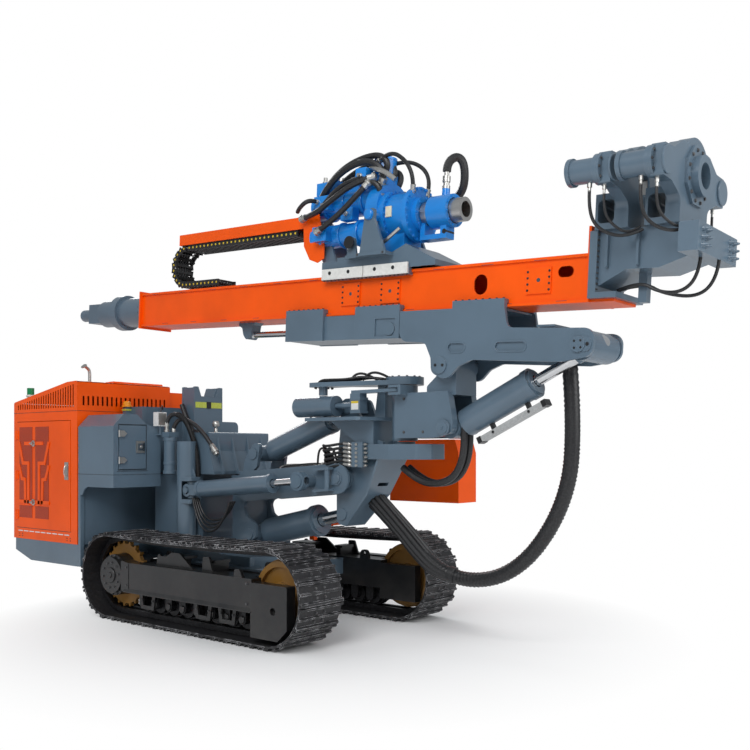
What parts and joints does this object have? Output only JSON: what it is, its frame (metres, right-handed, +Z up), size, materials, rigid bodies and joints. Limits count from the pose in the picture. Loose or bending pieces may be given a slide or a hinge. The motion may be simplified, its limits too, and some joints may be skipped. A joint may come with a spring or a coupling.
{
  "type": "tracked drilling rig",
  "caption": "Crawler drilling rig with an articulated boom, a long sliding feed mast, a rotary drill head, twin rod clamps and a rear engine housing.",
  "frame": {"origin": "on the ground, at the middle of the machine's bounding box seen from above", "axes": "+X forward towards the rod clamps, +Y to the machine's left, +Z up"},
  "size_m": [7.6201, 2.222, 4.2113],
  "materials": {
    "track_steel": "worn",
    "chain_steel": "satin",
    "frame_black": "satin",
    "ochre": "satin",
    "blue_grey": "semi-gloss",
    "orange": "gloss",
    "head_blue": "gloss",
    "rod_chrome": "polished",
    "spindle_steel": "machined",
    "engine_iron": "cast",
    "pad_white": "satin",
    "beacon_green": "gloss",
    "chain_plastic": "matte",
    "hose_rubber": "matte"
  },
  "bodies": {
    "chassis": {"track_right": "track_steel", "track_left": "track_steel", "track_chains": "chain_steel", "sprockets": "ochre", "idlers": "ochre", "track_frames": "frame_black", "rollers": "chain_steel", "car_body": "blue_grey", "rear_base": "blue_grey", "engine_hood": "orange", "engine_block": "engine_iron", "hydraulic_tank": "blue_grey", "deck": "blue_grey", "control_box": "blue_grey", "mast_rest": "blue_grey", "bridge": "blue_grey", "swing_posts": "blue_grey", "console": "orange", "beacon": "beacon_green", "exhaust": "spindle_steel"},
    "turret_body": {"turret": "blue_grey"},
    "arm_body": {"boom_arm": "blue_grey"},
    "post_body": {"boom_post": "blue_grey"},
    "strut_barrel_body": {"strut_barrel": "blue_grey"},
    "strut_rod_body": {"strut_rod": "rod_chrome"},
    "lift_barrel_body": {"lift_barrel": "blue_grey"},
    "lift_rod_body": {"lift_rod": "rod_chrome"},
    "knuckle_right": {"swing_knuckle_right": "blue_grey"},
    "knuckle_left": {"swing_knuckle_left": "blue_grey"},
    "swing_barrel_body_right": {"swing_barrel_right": "blue_grey"},
    "swing_barrel_body_left": {"swing_barrel_left": "blue_grey"},
    "swing_rod_body_right": {"swing_rod_right": "rod_chrome"},
    "swing_rod_body_left": {"swing_rod_left": "rod_chrome"},
    "swivel_body": {"swivel_block": "blue_grey", "hose_loop": "hose_rubber"},
    "swivel_barrel_body": {"swivel_barrel": "blue_grey"},
    "swivel_rod_body": {"swivel_rod": "blue_grey"},
    "tilt_barrel_body": {"tilt_barrel": "blue_grey"},
    "tilt_rod_body": {"tilt_rod": "rod_chrome"},
    "cradle_body": {"mast_bracket": "blue_grey", "mast_cradle": "blue_grey"},
    "mast_body": {"mast_beam": "orange", "slide_rod": "rod_chrome", "feed_drive": "blue_grey", "clamp_frame": "blue_grey", "rear_clamp": "blue_grey", "front_clamp": "blue_grey", "energy_chain": "chain_plastic"},
    "head_body": {"carriage": "blue_grey", "guide_pads": "pad_white", "drill_head": "head_blue", "chain_tray": "orange"},
    "spindle_body": {"spindle": "spindle_steel"},
    "rear_jaw_body_right": {"rear_jaw_right": "spindle_steel"},
    "rear_jaw_body_left": {"rear_jaw_left": "spindle_steel"},
    "front_jaw_body_right": {"front_jaw_right": "spindle_steel"},
    "front_jaw_body_left": {"front_jaw_left": "spindle_steel"},
    "engine_door_body": {"engine_door": "orange"},
    "control_door_body": {"control_door": "blue_grey"}
  },
  "joints": [
    {"name": "boom_swing", "type": "hinge", "parent": "chassis", "child": "turret_body", "pos_m": [-0.94, 0, 1.08], "axis": [0, 0, 1], "range_deg": [-12, 12]},
    {"name": "boom_lift", "type": "hinge", "parent": "turret_body", "child": "arm_body", "pos_m": [-0.69, 0, 1.3], "axis": [0, -1, 0], "range_deg": [-10, 20]},
    {"name": "post_level", "type": "hinge", "parent": "arm_body", "child": "post_body", "pos_m": [0.49, 0, 1.395], "axis": [0, -1, 0], "range_deg": [-20.5, 10.5]},
    {"name": "strut_pitch", "type": "hinge", "parent": "turret_body", "child": "strut_barrel_body", "pos_m": [-0.64, 0, 1.615], "axis": [0, -1, 0], "range_deg": [-9.66, 18.83]},
    {"name": "strut_extend", "type": "slide", "parent": "strut_barrel_body", "child": "strut_rod_body", "axis": [0.9406, 0, 0.3394], "range_m": [-0.0556, 0.1083]},
    {"name": "lift_pitch", "type": "hinge", "parent": "turret_body", "child": "lift_barrel_body", "pos_m": [-0.7, 0, 0.83], "axis": [0, -1, 0], "range_deg": [-10.42, 20.35]},
    {"name": "lift_extend", "type": "slide", "parent": "lift_barrel_body", "child": "lift_rod_body", "axis": [0.9784, 0, 0.2068], "range_m": [-0.029, 0.0551]},
    {"name": "swing_yaw_right", "type": "hinge", "parent": "chassis", "child": "knuckle_right", "pos_m": [-1.197, -0.5, 1.256], "axis": [0, 0, 1], "range_deg": [-9.8, 9.8]},
    {"name": "swing_pitch_right", "type": "hinge", "parent": "knuckle_right", "child": "swing_barrel_body_right", "pos_m": [-1.197, -0.5, 1.256], "axis": [0, -1, 0], "range_deg": [-6.84, 13.17]},
    {"name": "swing_extend_right", "type": "slide", "parent": "swing_barrel_body_right", "child": "swing_rod_body_right", "axis": [0.994, 0.0722, 0.0823], "range_m": [-0.0997, 0.0997]},
    {"name": "swing_yaw_left", "type": "hinge", "parent": "chassis", "child": "knuckle_left", "pos_m": [-1.197, 0.5, 1.256], "axis": [0, 0, 1], "range_deg": [-9.8, 9.8]},
    {"name": "swing_pitch_left", "type": "hinge", "parent": "knuckle_left", "child": "swing_barrel_body_left", "pos_m": [-1.197, 0.5, 1.256], "axis": [0, -1, 0], "range_deg": [-6.84, 13.17]},
    {"name": "swing_extend_left", "type": "slide", "parent": "swing_barrel_body_left", "child": "swing_rod_body_left", "axis": [0.994, -0.0722, 0.0823], "range_m": [-0.0997, 0.0997]},
    {"name": "mast_swivel", "type": "hinge", "parent": "post_body", "child": "swivel_body", "pos_m": [1.065, 0, 1.95], "axis": [0, 0, 1], "range_deg": [-20, 20]},
    {"name": "swivel_yaw", "type": "hinge", "parent": "post_body", "child": "swivel_barrel_body", "pos_m": [0.33, -0.25, 2.03], "axis": [0, 0, 1], "range_deg": [-2.77, 2.77]},
    {"name": "swivel_extend", "type": "slide", "parent": "swivel_barrel_body", "child": "swivel_rod_body", "axis": [1, 0, 0], "range_m": [-0.0895, 0.0895]},
    {"name": "mast_tilt", "type": "hinge", "parent": "swivel_body", "child": "cradle_body", "pos_m": [1.611, 0, 2.338], "axis": [0, -1, 0], "range_deg": [-40, 8], "deforming": ["hose_loop"]},
    {"name": "tilt_pitch", "type": "hinge", "parent": "swivel_body", "child": "tilt_barrel_body", "pos_m": [1.62, 0, 1.832], "axis": [0, -1, 0], "range_deg": [-37.76, 7.95]},
    {"name": "tilt_extend", "type": "slide", "parent": "tilt_barrel_body", "child": "tilt_rod_body", "axis": [0.902, 0, 0.4317], "range_m": [-0.3445, 0.0713]},
    {"name": "mast_slide", "type": "slide", "parent": "cradle_body", "child": "mast_body", "axis": [0.9986, 0, -0.053], "range_m": [-0.5, 0.6]},
    {"name": "head_feed", "type": "slide", "parent": "mast_body", "child": "head_body", "axis": [0.9986, 0, -0.053], "range_m": [-2.2, 1.1], "deforming": ["energy_chain"]},
    {"name": "spindle_turn", "type": "hinge", "parent": "head_body", "child": "spindle_body", "pos_m": [1.68021, 0, 3.64116], "axis": [0.9986, 0, -0.053], "continuous": true},
    {"name": "rear_grip_right", "type": "slide", "parent": "mast_body", "child": "rear_jaw_body_right", "axis": [0, 1, 0], "range_m": [0, 0.04]},
    {"name": "rear_grip_left", "type": "slide", "parent": "mast_body", "child": "rear_jaw_body_left", "axis": [0, -1, 0], "range_m": [0, 0.04]},
    {"name": "front_grip_right", "type": "slide", "parent": "mast_body", "child": "front_jaw_body_right", "axis": [0, 1, 0], "range_m": [0, 0.04]},
    {"name": "front_grip_left", "type": "slide", "parent": "mast_body", "child": "front_jaw_body_left", "axis": [0, -1, 0], "range_m": [0, 0.04]},
    {"name": "engine_door_swing", "type": "hinge", "parent": "chassis", "child": "engine_door_body", "pos_m": [-3.414, -1.112, 1.38], "axis": [0, 0, -1], "range_deg": [0, 110]},
    {"name": "control_door_swing", "type": "hinge", "parent": "chassis", "child": "control_door_body", "pos_m": [-1.629, -1.046, 1.68], "axis": [0, 0, -1], "range_deg": [0, 110]}
  ],
  "couplings": [
    {"joint": "post_level", "follows": "boom_lift", "ratio": -1},
    {"joint": "strut_pitch", "follows": "boom_lift", "ratio": 0.91652},
    {"joint": "strut_extend", "follows": "boom_lift", "m_per_rad": 0.30162},
    {"joint": "lift_pitch", "follows": "boom_lift", "ratio": 0.99228},
    {"joint": "lift_extend", "follows": "boom_lift", "m_per_rad": 0.14916},
    {"joint": "swing_yaw_right", "follows": "boom_swing", "ratio": 0.77505},
    {"joint": "swing_pitch_right", "follows": "boom_lift", "ratio": 0.63372},
    {"joint": "swing_extend_right", "follows": "boom_swing", "m_per_rad": 0.46185},
    {"joint": "swing_yaw_left", "follows": "boom_swing", "ratio": 0.77505},
    {"joint": "swing_pitch_left", "follows": "boom_lift", "ratio": 0.63372},
    {"joint": "swing_extend_left", "follows": "boom_swing", "m_per_rad": -0.46185},
    {"joint": "swivel_yaw", "follows": "mast_swivel", "ratio": 0.1135},
    {"joint": "swivel_extend", "follows": "mast_swivel", "m_per_rad": 0.2477},
    {"joint": "tilt_pitch", "follows": "mast_tilt", "ratio": 0.9315},
    {"joint": "tilt_extend", "follows": "mast_tilt", "m_per_rad": 0.4891},
    {"joint": "rear_grip_left", "follows": "rear_grip_right", "ratio": 1},
    {"joint": "front_grip_left", "follows": "front_grip_right", "ratio": 1}
  ]
}
